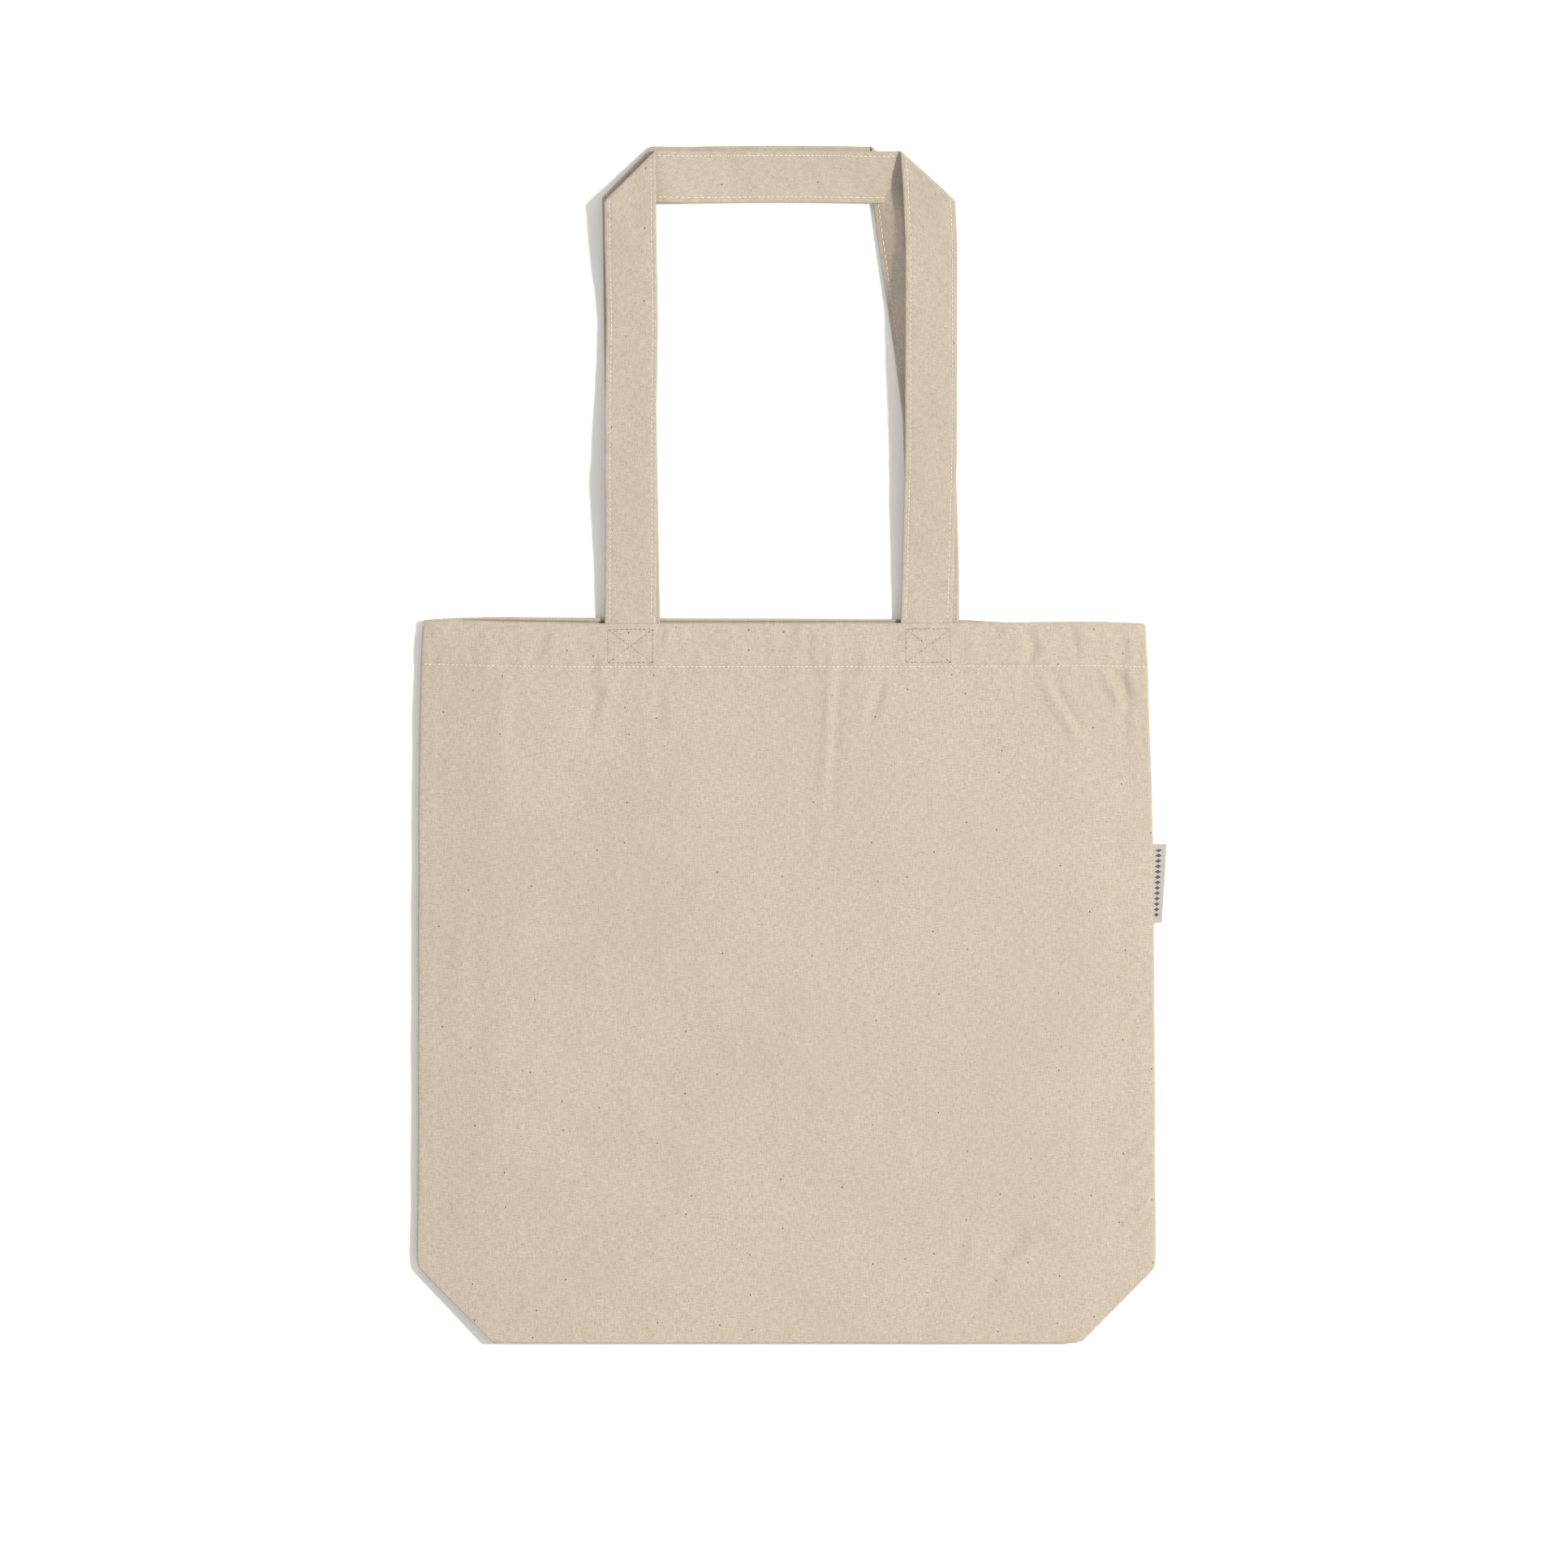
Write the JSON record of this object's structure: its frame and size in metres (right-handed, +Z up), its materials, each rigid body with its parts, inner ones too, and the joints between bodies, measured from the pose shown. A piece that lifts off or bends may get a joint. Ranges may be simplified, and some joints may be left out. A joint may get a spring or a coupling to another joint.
{
  "type": "canvas tote bag",
  "caption": "Flat-folded boxed canvas tote bag with looped strap handles, a stitched mouth hem and a blank side label.",
  "frame": {"origin": "middle of the back panel's outer face, on the surface that the pressed-flat bag lies on", "axes": "+Z up through the bag's thickness, from the back panel to the front panel; +Y towards the mouth and handles; +X towards the side seam that holds the label"},
  "size_m": [0.3913, 0.6234, 0.0095],
  "materials": {
    "bag_canvas": "undyed plain-weave cotton canvas, matte",
    "strap_canvas": "folded undyed cotton canvas strap, matte",
    "thread": "off-white sewing thread",
    "box_thread": "cloth-coloured sewing thread",
    "overlock_thread": "loose overlock thread",
    "label_tape": "woven grey label tape, blank"
  },
  "bodies": {
    "back": {"back_panel": "bag_canvas", "back_hem": "bag_canvas", "back_hem_stitching": "thread", "back_box_stitching_left": "box_thread", "back_box_stitching_right": "box_thread", "back_handle_left_end": "strap_canvas", "back_handle_right_end": "strap_canvas"},
    "front": {"front_panel": "bag_canvas", "front_hem": "bag_canvas", "front_hem_stitching": "thread", "front_box_stitching_left": "box_thread", "front_box_stitching_right": "box_thread", "front_handle_left_end": "strap_canvas", "front_handle_right_end": "strap_canvas"},
    "left_back_fold": {"left_back_side": "bag_canvas", "left_back_hem": "bag_canvas", "left_back_hem_stitching": "thread"},
    "left_back_corner_fold": {"left_back_corner": "bag_canvas"},
    "left_front_fold": {"left_front_side": "bag_canvas", "left_front_hem": "bag_canvas", "left_front_hem_stitching": "thread"},
    "left_front_corner_fold": {"left_front_corner": "bag_canvas"},
    "left_seam": {"left_seam_allowance": "bag_canvas", "left_seam_overlock": "overlock_thread", "left_seam_stitching": "thread"},
    "right_back_fold": {"right_back_side": "bag_canvas", "right_back_hem": "bag_canvas", "right_back_hem_stitching": "thread"},
    "right_back_corner_fold": {"right_back_corner": "bag_canvas"},
    "right_front_fold": {"right_front_side": "bag_canvas", "right_front_hem": "bag_canvas", "right_front_hem_stitching": "thread"},
    "right_front_corner_fold": {"right_front_corner": "bag_canvas"},
    "right_seam": {"right_seam_allowance": "bag_canvas", "right_seam_overlock": "overlock_thread", "right_seam_stitching": "thread", "label_tab": "label_tape"},
    "base_back_fold": {"base_back": "bag_canvas"},
    "base_front_fold": {"base_front": "bag_canvas"},
    "base_seam": {"base_seam_allowance": "bag_canvas", "base_seam_overlock": "overlock_thread", "base_seam_stitching": "thread"},
    "back_handle": {"back_handle_left_leg": "strap_canvas", "back_handle_right_leg": "strap_canvas", "back_handle_grip": "strap_canvas", "back_handle_leg_stitching": "thread", "back_handle_grip_stitching": "thread"},
    "front_handle": {"front_handle_left_leg": "strap_canvas", "front_handle_right_leg": "strap_canvas", "front_handle_grip": "strap_canvas", "front_handle_leg_stitching": "thread", "front_handle_grip_stitching": "thread"},
    "label": {"label_flap": "label_tape"}
  },
  "joints": [
    {"name": "bag_unfold", "type": "hinge", "parent": "back", "child": "right_back_fold", "pos_m": [0.1525, 0, 0.0008], "axis": [0, -1, 0], "range_deg": [0, 85.5]},
    {"name": "right_seam_level", "type": "hinge", "parent": "right_back_fold", "child": "right_seam", "pos_m": [0.19238, 0, 0.00394], "axis": [0, 1, 0], "range_deg": [0, 85.5]},
    {"name": "right_front_crease", "type": "hinge", "parent": "right_seam", "child": "right_front_fold", "pos_m": [0.19238, 0, 0.00554], "axis": [0, 1, 0], "range_deg": [0, 85.5]},
    {"name": "front_level", "type": "hinge", "parent": "right_front_fold", "child": "front", "pos_m": [0.1525, 0, 0.00868], "axis": [0, -1, 0], "range_deg": [0, 85.5]},
    {"name": "left_front_crease", "type": "hinge", "parent": "front", "child": "left_front_fold", "pos_m": [-0.1525, 0, 0.00868], "axis": [0, -1, 0], "range_deg": [0, 85.5]},
    {"name": "left_back_crease", "type": "hinge", "parent": "back", "child": "left_back_fold", "pos_m": [-0.1525, 0, 0.0008], "axis": [0, 1, 0], "range_deg": [0, 85.5]},
    {"name": "left_seam_level", "type": "hinge", "parent": "left_back_fold", "child": "left_seam", "pos_m": [-0.19238, 0, 0.00394], "axis": [0, -1, 0], "range_deg": [0, 85.5]},
    {"name": "base_back_crease", "type": "hinge", "parent": "back", "child": "base_back_fold", "pos_m": [0, -0.1875, 0.0008], "axis": [1, 0, 0], "range_deg": [0, 85.5]},
    {"name": "base_seam_level", "type": "hinge", "parent": "base_back_fold", "child": "base_seam", "pos_m": [0, -0.14762, 0.00394], "axis": [-1, 0, 0], "range_deg": [0, 85.5]},
    {"name": "base_front_crease", "type": "hinge", "parent": "front", "child": "base_front_fold", "pos_m": [0, -0.1875, 0.00868], "axis": [-1, 0, 0], "range_deg": [0, 85.5]},
    {"name": "right_back_corner_crease", "type": "hinge", "parent": "right_back_fold", "child": "right_back_corner_fold", "pos_m": [0.1525, -0.1875, 0.0008], "axis": [0.7049, 0.7071, 0.0555], "range_deg": [0, 180], "deforming": ["right_back_corner"]},
    {"name": "left_back_corner_crease", "type": "hinge", "parent": "left_back_fold", "child": "left_back_corner_fold", "pos_m": [-0.1525, -0.1875, 0.0008], "axis": [0.7049, -0.7071, -0.0555], "range_deg": [0, 180], "deforming": ["left_back_corner"]},
    {"name": "right_front_corner_crease", "type": "hinge", "parent": "right_front_fold", "child": "right_front_corner_fold", "pos_m": [0.1525, -0.1875, 0.00868], "axis": [-0.7049, -0.7071, 0.0555], "range_deg": [0, 180], "deforming": ["right_front_corner"]},
    {"name": "left_front_corner_crease", "type": "hinge", "parent": "left_front_fold", "child": "left_front_corner_fold", "pos_m": [-0.1525, -0.1875, 0.00868], "axis": [-0.7049, 0.7071, -0.0555], "range_deg": [0, 180], "deforming": ["left_front_corner"]},
    {"name": "front_handle_swing", "type": "hinge", "parent": "front", "child": "front_handle", "pos_m": [0, 0.1875, 0.00868], "axis": [1, 0, 0], "range_deg": [0, 175]},
    {"name": "back_handle_swing", "type": "hinge", "parent": "back", "child": "back_handle", "pos_m": [0, 0.1875, 0.0008], "axis": [-1, 0, 0], "range_deg": [0, 175]},
    {"name": "label_bend", "type": "hinge", "parent": "right_seam", "child": "label", "pos_m": [0.19378, 0.0515, 0.00474], "axis": [0, 1, 0], "range_deg": [-75, 75]}
  ],
  "couplings": [
    {"joint": "right_seam_level", "follows": "bag_unfold", "ratio": 1},
    {"joint": "right_front_crease", "follows": "bag_unfold", "ratio": 1},
    {"joint": "front_level", "follows": "bag_unfold", "ratio": 1},
    {"joint": "left_front_crease", "follows": "bag_unfold", "ratio": 1},
    {"joint": "left_back_crease", "follows": "bag_unfold", "ratio": 1},
    {"joint": "left_seam_level", "follows": "bag_unfold", "ratio": 1},
    {"joint": "base_back_crease", "follows": "bag_unfold", "ratio": 1},
    {"joint": "base_seam_level", "follows": "bag_unfold", "ratio": 1},
    {"joint": "base_front_crease", "follows": "bag_unfold", "ratio": 1},
    {"joint": "right_back_corner_crease", "follows": "bag_unfold", "ratio": 2.1},
    {"joint": "left_back_corner_crease", "follows": "bag_unfold", "ratio": 2.1},
    {"joint": "right_front_corner_crease", "follows": "bag_unfold", "ratio": 2.1},
    {"joint": "left_front_corner_crease", "follows": "bag_unfold", "ratio": 2.1}
  ]
}
